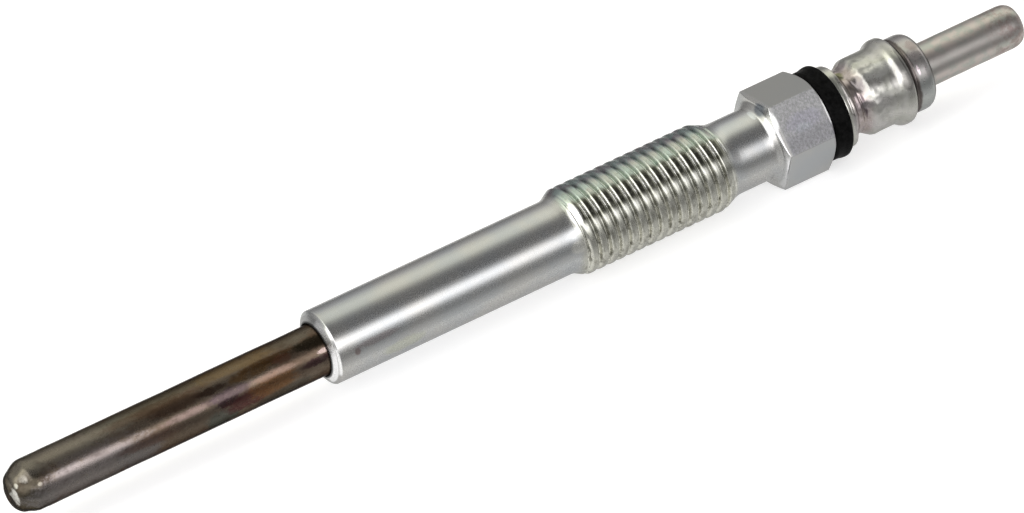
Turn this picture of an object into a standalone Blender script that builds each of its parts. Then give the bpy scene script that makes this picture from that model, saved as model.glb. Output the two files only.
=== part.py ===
"""Metal-sheath diesel glow plug with an M8 x 1 thread, an 8 mm hexagon and a 4 mm push-on pin.

Every piece is drawn about its own Z axis with the heater tip at z = 0. One empty then lays the plug
on its side: its axis runs along +X, a flat of the hexagon faces down, and the lowest point is at z = 0.
"""
import math

import bmesh
import bpy
from mathutils import Matrix, Vector

MM = 0.001

# Turning and winding resolution
TURN_STEPS = 24
COIL_POINTS_PER_TURN = 9

# Clearances, and how far a cutter runs past what it cuts
RADIAL_FIT = 0.04 * MM
END_GAP = 0.10 * MM
WIRE_CLEARANCE = 0.06 * MM
CUTTER_OVERRUN = 1.00 * MM
CUTTER_SKIN = 0.08 * MM

# Heater tube
TUBE_RADIUS = 2.30 * MM
TUBE_WALL = 0.60 * MM
TUBE_EXPOSED = 30.30 * MM
TUBE_INSERTED = 19.50 * MM
TIP_FLAT_RADIUS = 0.70 * MM
TIP_NOSE_RADIUS = 1.12 * MM
TIP_NOSE_SWEEP = math.radians(62.0)
TIP_CONE_END = 1.80 * MM
TIP_WALL = 1.20 * MM
TIP_INNER_ROUND = 0.85 * MM
TUBE_MOUTH_ROUND = 0.25 * MM

# Coils wound in the heater tube
HEATER_WIRE_RADIUS = 0.20 * MM
HEATER_PITCH = 1.10 * MM
HEATER_TURNS = 9
REGULATING_WIRE_RADIUS = 0.175 * MM
REGULATING_PITCH = 1.50 * MM
REGULATING_TURNS = 9
COIL_RADIUS = 1.05 * MM
COIL_TAIL = 0.55 * MM
TIP_LEAD_LENGTH = 0.90 * MM
TIP_LEAD_STRAIGHT = 0.40 * MM

# Centre rod
ROD_RADIUS = 1.20 * MM
ROD_NECK_RADIUS = 0.55 * MM
ROD_NECK_LENGTH = 4.50 * MM
ROD_CHAMFER = 0.25 * MM

# Rubber plug that closes the heater tube
TUBE_GASKET_LENGTH = 3.20 * MM
TUBE_GASKET_SETBACK = 0.30 * MM
TUBE_GASKET_CHAMFER = 0.10 * MM

# Shell
LOWER_BODY_RADIUS = 3.34 * MM
LOWER_BODY_LENGTH = 23.75 * MM
SHELL_NOSE_RADIUS = 3.02 * MM
SHELL_NOSE_LENGTH = 0.32 * MM
THREAD_RADIUS = 3.97 * MM
THREAD_PITCH = 1.00 * MM
THREAD_DEPTH = 0.60 * MM
THREAD_CREST = 0.125 * MM
THREAD_FLANK_ANGLE = math.radians(30.0)
THREAD_LEAD_IN = 1.10 * MM
THREAD_LENGTH = 13.70 * MM
THREAD_RUN_OUT = 1.60 * MM
NECK_RADIUS = 3.28 * MM
NECK_LENGTH = 4.29 * MM
HEX_ACROSS_FLATS = 8.00 * MM
HEX_LENGTH = 4.94 * MM
HEX_FRONT_FACE_RADIUS = 3.85 * MM
HEX_FRONT_SLOPE_LENGTH = 0.33 * MM
HEX_REAR_FACE_RADIUS = 4.02 * MM
HEX_REAR_SLOPE_LENGTH = 0.40 * MM
SHELL_BORE_RADIUS = 1.95 * MM
TUBE_SEAT_RELIEF = 0.40 * MM
COUNTERBORE_RADIUS = 2.60 * MM
COUNTERBORE_DEPTH = 4.60 * MM
COUNTERBORE_CONE = 0.65 * MM

# Seal and insulating washer at the shell's rear end
SEAL_SECTION_RADIUS = 0.62 * MM
SEAL_SECTION_POINTS = 10
WASHER_RADIUS = 4.20 * MM
WASHER_THICKNESS = 1.70 * MM
WASHER_ROUND = 0.40 * MM
WASHER_FRONT_CHAMFER = 0.12 * MM
WASHER_SLEEVE_LENGTH = 2.20 * MM

# Electrical connector, crimped on the rod
FLANGE_RADIUS = 3.72 * MM
FLANGE_LENGTH = 0.56 * MM
WAIST_RADIUS = 2.92 * MM
WAIST_FRONT_SLOPE = 0.50 * MM
WAIST_LENGTH = 0.92 * MM
WAIST_REAR_SLOPE = 0.92 * MM
BARREL_RADIUS = 3.50 * MM
BARREL_HOLLOW = 0.03 * MM
BARREL_LENGTH = 2.40 * MM
RIDGE_RADIUS = 3.94 * MM
RIDGE_RAMP = 0.75 * MM
RIDGE_TOP = 0.50 * MM
RIDGE_BACK = 0.45 * MM
GROOVE_RADIUS = 3.36 * MM
GROOVE_LENGTH = 0.20 * MM
END_PART_RADIUS = 3.46 * MM
END_PART_LENGTH = 1.84 * MM
END_PART_ROUND = 0.68 * MM
PIN_RADIUS = 1.97 * MM
PIN_LENGTH = 10.51 * MM
PIN_ROUND = 0.98 * MM
CONNECTOR_BORE_DEPTH = 11.70 * MM
ROD_END_CLEARANCE = 0.30 * MM

# Stations along the axis, from the tip
TUBE_END = TUBE_EXPOSED + TUBE_INSERTED
TUBE_BORE_RADIUS = TUBE_RADIUS - TUBE_WALL
SHELL_FRONT = TUBE_EXPOSED
THREAD_START = SHELL_FRONT + LOWER_BODY_LENGTH
THREAD_FULL = THREAD_START + THREAD_LEAD_IN
THREAD_END = THREAD_FULL + THREAD_LENGTH
NECK_START = THREAD_END + THREAD_RUN_OUT
HEX_FRONT = NECK_START + NECK_LENGTH
HEX_REAR = HEX_FRONT + HEX_LENGTH
COUNTERBORE_FLOOR = HEX_REAR - COUNTERBORE_DEPTH
WASHER_FRONT = HEX_REAR + END_GAP
WASHER_REAR = WASHER_FRONT + WASHER_THICKNESS
CONNECTOR_FRONT = WASHER_REAR + END_GAP
ROD_END = CONNECTOR_FRONT + CONNECTOR_BORE_DEPTH - ROD_END_CLEARANCE
POWDER_FRONT = TIP_WALL + RADIAL_FIT
TIP_LEAD_START = TIP_WALL + END_GAP
HEATER_START = TIP_LEAD_START + TIP_LEAD_LENGTH
HEATER_END = HEATER_START + HEATER_TURNS * HEATER_PITCH
COIL_JOINT = HEATER_END + COIL_TAIL
REGULATING_START = COIL_JOINT + END_GAP + COIL_TAIL
REGULATING_END = REGULATING_START + REGULATING_TURNS * REGULATING_PITCH
ROD_SHOULDER = REGULATING_END + COIL_TAIL + END_GAP
ROD_FRONT = ROD_SHOULDER - ROD_NECK_LENGTH
GASKET_REAR = TUBE_END - TUBE_GASKET_SETBACK
GASKET_FRONT = GASKET_REAR - TUBE_GASKET_LENGTH
POWDER_REAR = GASKET_FRONT - END_GAP
HEX_CORNER_RADIUS = HEX_ACROSS_FLATS / math.sqrt(3.0)
FACET_ANGLE = math.pi / TURN_STEPS
COUNTERBORE_CLEAR = COUNTERBORE_RADIUS * math.cos(FACET_ANGLE) - RADIAL_FIT


def new_collection(name):
    """Make an empty collection in the scene."""
    collection = bpy.data.collections.new(name)
    bpy.context.scene.collection.children.link(collection)
    return collection


def clear_scene():
    """Remove what the scene holds."""
    for item in list(bpy.data.objects):
        bpy.data.objects.remove(item, do_unlink=True)


def material(name, colour, metallic, roughness):
    """Make a Principled material."""
    made = bpy.data.materials.new(name)
    made.use_nodes = True
    shader = made.node_tree.nodes["Principled BSDF"]
    shader.inputs["Base Color"].default_value = (*colour, 1.0)
    shader.inputs["Metallic"].default_value = metallic
    shader.inputs["Roughness"].default_value = roughness
    made.diffuse_color = (*colour, 1.0)
    return made


def mesh_object(name, mesh, collection):
    """Put a mesh in a new object."""
    made = bpy.data.objects.new(name, mesh)
    collection.objects.link(made)
    return made


def as_cutter(item):
    """Show an object as a wire and keep it out of the render."""
    item.hide_render = True
    item.display_type = "WIRE"
    return item


def applied(item):
    """Replace an object's mesh by its evaluated form."""
    graph = bpy.context.evaluated_depsgraph_get()
    mesh = bpy.data.meshes.new_from_object(item.evaluated_get(graph))
    item.modifiers.clear()
    item.data = mesh
    return item


def arc(centre_z, centre_r, radius, start, end, count):
    """Points of a circular arc in the (radius, z) plane; angle 0 points along +Z."""
    points = []
    for index in range(count + 1):
        angle = start + (end - start) * index / count
        points.append((centre_r + radius * math.sin(angle), centre_z + radius * math.cos(angle)))
    return points


def clear_bore(radius):
    """Radius of a faceted bore that clears a round piece by the radial fit all round."""
    return (radius + RADIAL_FIT) / math.cos(FACET_ANGLE)


def turned(name, profile, collection, closed=False, phase=FACET_ANGLE):
    """Turn a profile of (radius, z) points about Z.

    The points run from the rear end down the outer side to the front, so the faces point out.
    A bore's cutter has phase 0, half a facet off the pieces, so that no edges of the two coincide.
    """
    mesh = bpy.data.meshes.new(name)
    edges = [(index, index + 1) for index in range(len(profile) - 1)]
    if closed:
        edges.append((len(profile) - 1, 0))
    mesh.from_pydata([(radius, 0.0, z) for radius, z in profile], edges, [])
    item = mesh_object(name, mesh, collection)
    item.rotation_euler.z = phase
    screw = item.modifiers.new("Turn", "SCREW")
    screw.steps = TURN_STEPS
    screw.render_steps = TURN_STEPS
    screw.use_merge_vertices = True
    screw.merge_threshold = 0.001 * MM
    screw.use_smooth_shade = True
    return item


def hexagonal_prism(name, corner_radius, front, rear, collection):
    """A six-sided bar about Z with a flat facing +X."""
    mesh = bpy.data.meshes.new(name)
    shape = bmesh.new()
    bmesh.ops.create_cone(
        shape, cap_ends=True, segments=6, radius1=corner_radius, radius2=corner_radius, depth=rear - front
    )
    bmesh.ops.translate(shape, verts=shape.verts, vec=Vector((0.0, 0.0, (front + rear) / 2)))
    shape.to_mesh(mesh)
    shape.free()
    return mesh_object(name, mesh, collection)


def boolean(item, operation, tool):
    """Add an exact Boolean modifier."""
    modifier = item.modifiers.new(tool.name, "BOOLEAN")
    modifier.operation = operation
    modifier.solver = "EXACT"
    modifier.object = tool
    return item


def helix(radius, pitch, turns, start_z):
    """Points of a right-hand helix about Z."""
    count = turns * COIL_POINTS_PER_TURN
    points = []
    for index in range(count + 1):
        angle = 2 * math.pi * index / COIL_POINTS_PER_TURN
        z = start_z + pitch * index / COIL_POINTS_PER_TURN
        points.append(Vector((radius * math.cos(angle), radius * math.sin(angle), z)))
    return points


def heater_path():
    """Centre line of the heater coil: up from the tip's weld, out to the winding, and a rear tail."""
    lead = [Vector((0.0, 0.0, TIP_LEAD_START)), Vector((0.0, 0.0, TIP_LEAD_START + TIP_LEAD_STRAIGHT))]
    spiral_points = COIL_POINTS_PER_TURN // 2
    for index in range(1, spiral_points):
        share = index / spiral_points
        angle = math.pi * (share - 1.0)
        z = lead[1].z + (HEATER_START - lead[1].z) * share
        lead.append(Vector((COIL_RADIUS * share * math.cos(angle), COIL_RADIUS * share * math.sin(angle), z)))
    winding = helix(COIL_RADIUS, HEATER_PITCH, HEATER_TURNS, HEATER_START)
    return lead + winding + [Vector((COIL_RADIUS, 0.0, COIL_JOINT))]


def regulating_path():
    """Centre line of the regulating coil, with a straight tail at both ends."""
    winding = helix(COIL_RADIUS, REGULATING_PITCH, REGULATING_TURNS, REGULATING_START)
    front_tail = Vector((COIL_RADIUS, 0.0, COIL_JOINT + END_GAP))
    rear_tail = Vector((COIL_RADIUS, 0.0, ROD_SHOULDER - END_GAP))
    return [front_tail] + winding + [rear_tail]


def wire(name, points, radius, collection):
    """A round wire along a line of points."""
    curve = bpy.data.curves.new(name, "CURVE")
    curve.dimensions = "3D"
    curve.bevel_depth = radius
    curve.bevel_resolution = 2
    curve.use_fill_caps = True
    spline = curve.splines.new("POLY")
    spline.points.add(len(points) - 1)
    for target, point in zip(spline.points, points):
        target.co = (*point, 1.0)
    item = bpy.data.objects.new(name, curve)
    collection.objects.link(item)
    return item


def wire_channel(name, points, radius, overrun, collection):
    """The closed mesh of a wire's channel, run on at both ends by a small length."""
    first = points[0] + (points[0] - points[1]).normalized() * overrun
    last = points[-1] + (points[-1] - points[-2]).normalized() * overrun
    curve_item = wire(name + "_line", [first] + points[1:-1] + [last], radius, collection)
    graph = bpy.context.evaluated_depsgraph_get()
    mesh = bpy.data.meshes.new_from_object(curve_item.evaluated_get(graph))
    shape = bmesh.new()
    shape.from_mesh(mesh)
    bmesh.ops.remove_doubles(shape, verts=shape.verts, dist=0.001 * MM)
    shape.to_mesh(mesh)
    shape.free()
    channel = mesh_object(name, mesh, collection)
    channel.matrix_world = curve_item.matrix_world.copy()
    bpy.data.objects.remove(curve_item, do_unlink=True)
    return as_cutter(channel)


def thread_groove(collection):
    """The helical groove of the thread: a 60 degree section swept past both ends of the thread.

    Its facets lie half a facet off the blank's, so no edge of one runs along an edge of the other.
    """
    flank = math.tan(THREAD_FLANK_ANGLE)
    crest_half = (THREAD_PITCH - THREAD_CREST) / 2
    root_radius = THREAD_RADIUS - THREAD_DEPTH
    outer_radius = THREAD_RADIUS + CUTTER_SKIN
    root_half = crest_half - THREAD_DEPTH * flank
    outer_half = crest_half + CUTTER_SKIN * flank
    start = THREAD_START - THREAD_PITCH
    turns = math.ceil((NECK_START - start) / THREAD_PITCH) + 1
    section = [
        (root_radius, 0.0, start + root_half),
        (outer_radius, 0.0, start + outer_half),
        (outer_radius, 0.0, start - outer_half),
        (root_radius, 0.0, start - root_half),
    ]
    mesh = bpy.data.meshes.new("thread_groove")
    mesh.from_pydata(section, [(0, 1), (1, 2), (2, 3), (3, 0)], [])
    groove = mesh_object("thread_groove", mesh, collection)
    screw = groove.modifiers.new("Wind", "SCREW")
    screw.steps = TURN_STEPS
    screw.render_steps = TURN_STEPS
    screw.iterations = turns
    screw.screw_offset = THREAD_PITCH
    screw.use_smooth_shade = True
    screw.use_merge_vertices = False
    applied(groove)
    shape = bmesh.new()
    shape.from_mesh(groove.data)
    open_edges = [edge for edge in shape.edges if edge.is_boundary]
    bmesh.ops.holes_fill(shape, edges=open_edges, sides=4)
    bmesh.ops.recalc_face_normals(shape, faces=shape.faces)
    shape.to_mesh(groove.data)
    shape.free()
    return as_cutter(groove)


def shell_blank_profile():
    """Outer profile of the shell before its thread is cut and its hexagon added."""
    head_core = HEX_FRONT + HEX_LENGTH / 2
    return [
        (0.0, head_core),
        (NECK_RADIUS, head_core),
        (NECK_RADIUS, NECK_START),
        (THREAD_RADIUS, THREAD_END),
        (THREAD_RADIUS, THREAD_FULL),
        (LOWER_BODY_RADIUS, THREAD_START),
        (LOWER_BODY_RADIUS, SHELL_FRONT + SHELL_NOSE_LENGTH),
        (SHELL_NOSE_RADIUS, SHELL_FRONT),
        (0.0, SHELL_FRONT),
    ]


def hex_envelope_profile():
    """Turned envelope that chamfers both ends of the hexagon; its cones run on past the end faces."""
    slope_radius = HEX_CORNER_RADIUS + CUTTER_SKIN
    rear_drop = CUTTER_SKIN * (slope_radius - HEX_REAR_FACE_RADIUS) / HEX_REAR_SLOPE_LENGTH
    front_drop = CUTTER_SKIN * (slope_radius - HEX_FRONT_FACE_RADIUS) / HEX_FRONT_SLOPE_LENGTH
    return [
        (0.0, HEX_REAR + CUTTER_SKIN),
        (HEX_REAR_FACE_RADIUS - rear_drop, HEX_REAR + CUTTER_SKIN),
        (slope_radius, HEX_REAR - HEX_REAR_SLOPE_LENGTH),
        (slope_radius, HEX_FRONT + HEX_FRONT_SLOPE_LENGTH),
        (HEX_FRONT_FACE_RADIUS - front_drop, HEX_FRONT - CUTTER_SKIN),
        (0.0, HEX_FRONT - CUTTER_SKIN),
    ]


def shell_bore_profile():
    """Stepped bore: press seat of the heater tube, passage of the rod, and rear counterbore."""
    seat_radius = clear_bore(TUBE_RADIUS)
    seat_end = TUBE_END + END_GAP
    return [
        (0.0, HEX_REAR + CUTTER_OVERRUN),
        (COUNTERBORE_RADIUS, HEX_REAR + CUTTER_OVERRUN),
        (COUNTERBORE_RADIUS, COUNTERBORE_FLOOR),
        (SHELL_BORE_RADIUS, COUNTERBORE_FLOOR - COUNTERBORE_CONE),
        (SHELL_BORE_RADIUS, seat_end + TUBE_SEAT_RELIEF),
        (seat_radius, seat_end),
        (seat_radius, SHELL_FRONT - CUTTER_OVERRUN),
        (0.0, SHELL_FRONT - CUTTER_OVERRUN),
    ]


def build_shell(parts, cutters):
    """Turned steel shell with its cut thread, hexagon head and stepped bore."""
    shell = turned("shell", shell_blank_profile(), parts)
    head = hexagonal_prism("hex_head", HEX_CORNER_RADIUS, HEX_FRONT, HEX_REAR, cutters)
    envelope = as_cutter(turned("hex_envelope", hex_envelope_profile(), cutters))
    as_cutter(boolean(head, "INTERSECT", envelope))
    bore = as_cutter(turned("shell_bore", shell_bore_profile(), cutters, phase=0.0))
    boolean(shell, "DIFFERENCE", thread_groove(cutters))
    boolean(shell, "UNION", head)
    boolean(shell, "DIFFERENCE", bore)
    return shell


def tube_tip_profile():
    """Outer side of the closed tip, from the full diameter to the axis."""
    nose = arc(
        TIP_NOSE_RADIUS, TIP_FLAT_RADIUS, TIP_NOSE_RADIUS, math.pi - TIP_NOSE_SWEEP, math.pi, 4
    )
    return [(TUBE_RADIUS, TIP_CONE_END)] + nose + [(0.0, 0.0)]


def build_heater_tube(parts):
    """Drawn tube with a closed, blunt tip and an open rear end."""
    round_centre = TUBE_BORE_RADIUS - TIP_INNER_ROUND
    inner_tip = arc(TIP_WALL + TIP_INNER_ROUND, round_centre, TIP_INNER_ROUND, math.pi, math.pi / 2, 3)
    profile = [(0.0, TIP_WALL)] + inner_tip
    profile += [(TUBE_BORE_RADIUS, TUBE_END), (TUBE_RADIUS - TUBE_MOUTH_ROUND, TUBE_END)]
    profile += [(TUBE_RADIUS, TUBE_END - TUBE_MOUTH_ROUND)] + tube_tip_profile()
    return turned("heater_tube", profile, parts)


def rod_front_profile(radius, neck, end_clearance):
    """Outer side of the rod's front end: full diameter, shoulder, and the neck that the coil grips."""
    return [
        (radius, ROD_SHOULDER - end_clearance),
        (neck, ROD_SHOULDER - end_clearance),
        (neck, ROD_FRONT - end_clearance),
        (0.0, ROD_FRONT - end_clearance),
    ]


def build_centre_rod(parts):
    """Steel rod that carries the current from the connector to the regulating coil."""
    profile = [(0.0, ROD_END), (ROD_RADIUS - ROD_CHAMFER, ROD_END), (ROD_RADIUS, ROD_END - ROD_CHAMFER)]
    return turned("centre_rod", profile + rod_front_profile(ROD_RADIUS, ROD_NECK_RADIUS, 0.0), parts)


def build_filler_powder(parts, cutters):
    """Pressed magnesia that fills the tube round both coils and the front of the rod."""
    radius = TUBE_BORE_RADIUS - RADIAL_FIT
    round_centre = radius - TIP_INNER_ROUND
    nose = arc(POWDER_FRONT + TIP_INNER_ROUND, round_centre, TIP_INNER_ROUND, math.pi / 2, math.pi, 3)
    profile = [(0.0, POWDER_REAR), (radius, POWDER_REAR)] + nose + [(0.0, POWDER_FRONT)]
    powder = turned("filler_powder", profile, parts)
    overrun = 2 * END_GAP
    bore_rear = POWDER_REAR + CUTTER_OVERRUN
    rod_space = [(0.0, bore_rear), (clear_bore(ROD_RADIUS), bore_rear)] + rod_front_profile(
        clear_bore(ROD_RADIUS), clear_bore(ROD_NECK_RADIUS), RADIAL_FIT
    )
    heater_radius = HEATER_WIRE_RADIUS + WIRE_CLEARANCE
    regulating_radius = REGULATING_WIRE_RADIUS + WIRE_CLEARANCE
    boolean(powder, "DIFFERENCE", as_cutter(turned("rod_space", rod_space, cutters, phase=0.0)))
    heater_channel = wire_channel("heater_channel", heater_path(), heater_radius, overrun, cutters)
    regulating_channel = wire_channel(
        "regulating_channel", regulating_path(), regulating_radius, overrun, cutters
    )
    boolean(powder, "DIFFERENCE", heater_channel)
    boolean(powder, "DIFFERENCE", regulating_channel)
    return powder


def sleeve_profile(inner, outer, front, rear, chamfer):
    """Closed section of a plain sleeve with chamfered outer edges."""
    return [
        (inner, rear),
        (outer - chamfer, rear),
        (outer, rear - chamfer),
        (outer, front + chamfer),
        (outer - chamfer, front),
        (inner, front),
    ]


def build_tube_gasket(parts):
    """Rubber plug between the rod and the heater tube's open end."""
    profile = sleeve_profile(
        ROD_RADIUS + RADIAL_FIT,
        TUBE_BORE_RADIUS - RADIAL_FIT,
        GASKET_FRONT,
        GASKET_REAR,
        TUBE_GASKET_CHAMFER,
    )
    return turned("tube_gasket", profile, parts, closed=True)


def build_shell_seal(parts):
    """Rubber ring on the rod, pressed into the counterbore by the insulating washer."""
    inner = ROD_RADIUS + RADIAL_FIT
    outer = COUNTERBORE_CLEAR
    half_width = (outer - inner) / 2
    centre_r = (outer + inner) / 2
    centre_z = COUNTERBORE_FLOOR + END_GAP + SEAL_SECTION_RADIUS
    profile = []
    for index in range(SEAL_SECTION_POINTS):
        angle = 2 * math.pi * (index + 0.5) / SEAL_SECTION_POINTS
        profile.append(
            (centre_r + half_width * math.sin(angle), centre_z + SEAL_SECTION_RADIUS * math.cos(angle))
        )
    return turned("shell_seal", profile, parts, closed=True)


def build_insulating_washer(parts):
    """Moulded washer whose sleeve reaches into the counterbore and centres the rod."""
    bore = ROD_RADIUS + RADIAL_FIT
    sleeve = COUNTERBORE_CLEAR
    rear_round = arc(
        WASHER_REAR - WASHER_ROUND, WASHER_RADIUS - WASHER_ROUND, WASHER_ROUND, 0.0, math.pi / 2, 3
    )
    profile = [(bore, WASHER_REAR)] + rear_round
    profile += [
        (WASHER_RADIUS, WASHER_FRONT + WASHER_FRONT_CHAMFER),
        (WASHER_RADIUS - WASHER_FRONT_CHAMFER, WASHER_FRONT),
        (sleeve, WASHER_FRONT),
        (sleeve, WASHER_FRONT - WASHER_SLEEVE_LENGTH),
        (bore, WASHER_FRONT - WASHER_SLEEVE_LENGTH),
    ]
    return turned("insulating_washer", profile, parts, closed=True)


def connector_outer_profile():
    """Outer side of the connector, from the pin's end to the front face."""
    waist_start = CONNECTOR_FRONT + FLANGE_LENGTH + WAIST_FRONT_SLOPE
    waist_end = waist_start + WAIST_LENGTH
    barrel_start = waist_end + WAIST_REAR_SLOPE
    ramp_start = barrel_start + BARREL_LENGTH
    ridge_start = ramp_start + RIDGE_RAMP
    ridge_end = ridge_start + RIDGE_TOP
    groove_start = ridge_end + RIDGE_BACK
    end_part_start = groove_start + GROOVE_LENGTH
    end_face = end_part_start + END_PART_LENGTH
    pin_end = end_face + PIN_LENGTH
    pin_tip = arc(pin_end - PIN_ROUND, PIN_RADIUS - PIN_ROUND, PIN_ROUND, 0.0, math.pi / 2, 5)
    end_round = arc(
        end_face - END_PART_ROUND, END_PART_RADIUS - END_PART_ROUND, END_PART_ROUND, 0.0, math.pi / 2, 3
    )
    return (
        [(0.0, pin_end)]
        + pin_tip
        + [(PIN_RADIUS, end_face)]
        + end_round
        + [
            (END_PART_RADIUS, end_part_start),
            (GROOVE_RADIUS, groove_start + GROOVE_LENGTH / 2),
            (GROOVE_RADIUS, groove_start),
            (RIDGE_RADIUS, ridge_end),
            (RIDGE_RADIUS, ridge_start),
            (BARREL_RADIUS, ramp_start),
            (BARREL_RADIUS - BARREL_HOLLOW, (barrel_start + ramp_start) / 2),
            (BARREL_RADIUS, barrel_start),
            (WAIST_RADIUS, waist_end),
            (WAIST_RADIUS, waist_start),
            (FLANGE_RADIUS, CONNECTOR_FRONT + FLANGE_LENGTH),
            (FLANGE_RADIUS, CONNECTOR_FRONT),
        ]
    )


def build_terminal_connector(parts):
    """Connector turned in one piece with its pin and a blind bore for the rod."""
    bore = ROD_RADIUS + RADIAL_FIT
    bore_end = CONNECTOR_FRONT + CONNECTOR_BORE_DEPTH
    profile = connector_outer_profile() + [(bore, CONNECTOR_FRONT), (bore, bore_end), (0.0, bore_end)]
    return turned("terminal_connector", profile, parts)


def build_coils(parts):
    """The heater coil at the tip and the regulating coil behind it."""
    heater = wire("heater_coil", heater_path(), HEATER_WIRE_RADIUS, parts)
    regulating = wire("regulating_coil", regulating_path(), REGULATING_WIRE_RADIUS, parts)
    return heater, regulating


def overall_length():
    """Length from the heater tip to the pin's end."""
    return max(z for radius, z in connector_outer_profile())


def lay_down(pieces):
    """Parent every piece to an empty that lays the axis along +X with the washer on the ground."""
    length = overall_length()
    axis = bpy.data.objects.new("plug_axis", None)
    bpy.context.scene.collection.objects.link(axis)
    axis.rotation_euler = (0.0, math.radians(90.0), 0.0)
    axis.location = (-length / 2, 0.0, WASHER_RADIUS * math.cos(FACET_ANGLE))
    for item in pieces:
        item.parent = axis
        item.matrix_parent_inverse = Matrix.Identity(4)


def shade(item, angle):
    """Shade a mesh smooth, with sharp edges past an angle."""
    item.data.shade_smooth()
    item.data.set_sharp_from_angle(angle=math.radians(angle))


def main():
    """Build the glow plug."""
    clear_scene()
    parts = new_collection("diesel_glow_plug")
    cutters = new_collection("cutters")
    shell = build_shell(parts, cutters)
    powder = build_filler_powder(parts, cutters)
    turned_pieces = [
        shell,
        powder,
        build_heater_tube(parts),
        build_centre_rod(parts),
        build_tube_gasket(parts),
        build_shell_seal(parts),
        build_insulating_washer(parts),
        build_terminal_connector(parts),
    ]
    heater_coil, regulating_coil = build_coils(parts)
    for item in turned_pieces:
        applied(item)
        shade(item, 35.0)
    finishes = {
        "shell": ("bright_nickel", (0.62, 0.62, 0.60), 1.0, 0.28),
        "terminal_connector": ("dull_nickel", (0.52, 0.51, 0.48), 1.0, 0.38),
        "heater_tube": ("heat_tinted_alloy", (0.20, 0.14, 0.10), 1.0, 0.42),
        "insulating_washer": ("black_insulator", (0.012, 0.012, 0.012), 0.0, 0.55),
        "shell_seal": ("black_rubber", (0.02, 0.02, 0.02), 0.0, 0.70),
        "tube_gasket": ("grey_rubber", (0.09, 0.09, 0.10), 0.0, 0.75),
        "centre_rod": ("plain_steel", (0.50, 0.49, 0.47), 1.0, 0.40),
        "filler_powder": ("white_magnesia", (0.80, 0.79, 0.75), 0.0, 0.90),
        "heater_coil": ("heater_wire", (0.34, 0.32, 0.30), 1.0, 0.45),
        "regulating_coil": ("regulating_wire", (0.45, 0.42, 0.38), 1.0, 0.40),
    }
    pieces = turned_pieces + [heater_coil, regulating_coil]
    for item in pieces:
        item.data.materials.clear()
        item.data.materials.append(material(*finishes[item.name]))
    lay_down(pieces)


main()
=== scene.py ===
"""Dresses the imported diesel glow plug: finely turned metal over the CAD solids, in a small studio.

Lengths inside the builders are in millimetres: a station is the distance from the heater tip along
the plug's axis. A side angle is measured about the axis from the side that the photograph shows.
Colours are linear.
"""
import math

import bpy
import numpy as np
from mathutils import Matrix, Vector, noise


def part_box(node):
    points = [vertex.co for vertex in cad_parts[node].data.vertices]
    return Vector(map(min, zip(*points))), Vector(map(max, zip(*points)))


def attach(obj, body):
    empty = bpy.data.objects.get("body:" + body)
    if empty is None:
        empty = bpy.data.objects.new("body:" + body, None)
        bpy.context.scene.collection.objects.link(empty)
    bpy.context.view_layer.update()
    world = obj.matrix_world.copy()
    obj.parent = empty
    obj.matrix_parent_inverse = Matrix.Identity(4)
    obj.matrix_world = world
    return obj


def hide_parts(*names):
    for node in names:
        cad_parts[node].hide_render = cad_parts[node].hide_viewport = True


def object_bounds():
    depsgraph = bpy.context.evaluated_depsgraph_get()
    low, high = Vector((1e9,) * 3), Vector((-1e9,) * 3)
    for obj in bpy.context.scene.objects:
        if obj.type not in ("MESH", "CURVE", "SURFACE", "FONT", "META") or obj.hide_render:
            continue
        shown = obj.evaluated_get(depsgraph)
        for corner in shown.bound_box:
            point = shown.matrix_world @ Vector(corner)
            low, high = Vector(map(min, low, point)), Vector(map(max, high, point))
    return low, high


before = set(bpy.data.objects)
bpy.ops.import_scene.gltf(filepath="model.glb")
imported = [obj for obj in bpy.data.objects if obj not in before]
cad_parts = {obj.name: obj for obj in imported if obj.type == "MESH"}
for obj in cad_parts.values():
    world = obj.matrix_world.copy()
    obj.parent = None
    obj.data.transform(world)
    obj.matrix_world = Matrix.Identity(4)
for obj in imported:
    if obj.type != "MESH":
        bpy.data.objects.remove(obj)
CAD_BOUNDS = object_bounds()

MM = 0.001
NEAR_SIDE = 150.0  # degrees about the axis, from +Y towards +Z
TIP_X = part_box("heater_tube")[0].x
WASHER_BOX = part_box("insulating_washer")
AXIS_HEIGHT = (WASHER_BOX[0].z + WASHER_BOX[1].z) / 2

TUBE_RADIUS = 2.30
TUBE_EXPOSED = 30.30
TUBE_LENGTH = 49.80
SHELL_REAR = 79.68
THREAD_START = 54.05
THREAD_FULL = 55.15
THREAD_END = 68.85
THREAD_PITCH = 1.00
THREAD_TURN = 90.0
THREAD_FLANK = math.radians(30.0)
THREAD_CREST_RADIUS = 3.97
THREAD_GROOVE_HALF = 0.26
NECK_START = 70.45
NECK_RADIUS = 3.28
HEX_FRONT = 74.74
HEX_APOTHEM = 4.00
HEX_SIDES = 6
HEX_HALF_FLAT = 180.0 / HEX_SIDES
PIN_END = 101.13

ROOT_ROUNDING = 0.03
CREST_ROUNDING = 0.20
RUNOUT_ROUNDING = 0.05
HEX_ROUNDING = 0.07

# Unevenness of a surface: size, depth, seed
TIP_DENTS = (0.75, 0.10, 3.0)
TUBE_WAVES = (2.6, 0.018, 11.0)
WASHER_WAVES = (0.8, 0.012, 21.0)
CONNECTOR_WAVES = (1.3, 0.02, 31.0)
CRIMP_DENTS = (0.55, 0.05, 41.0)


# Meshes

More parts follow.
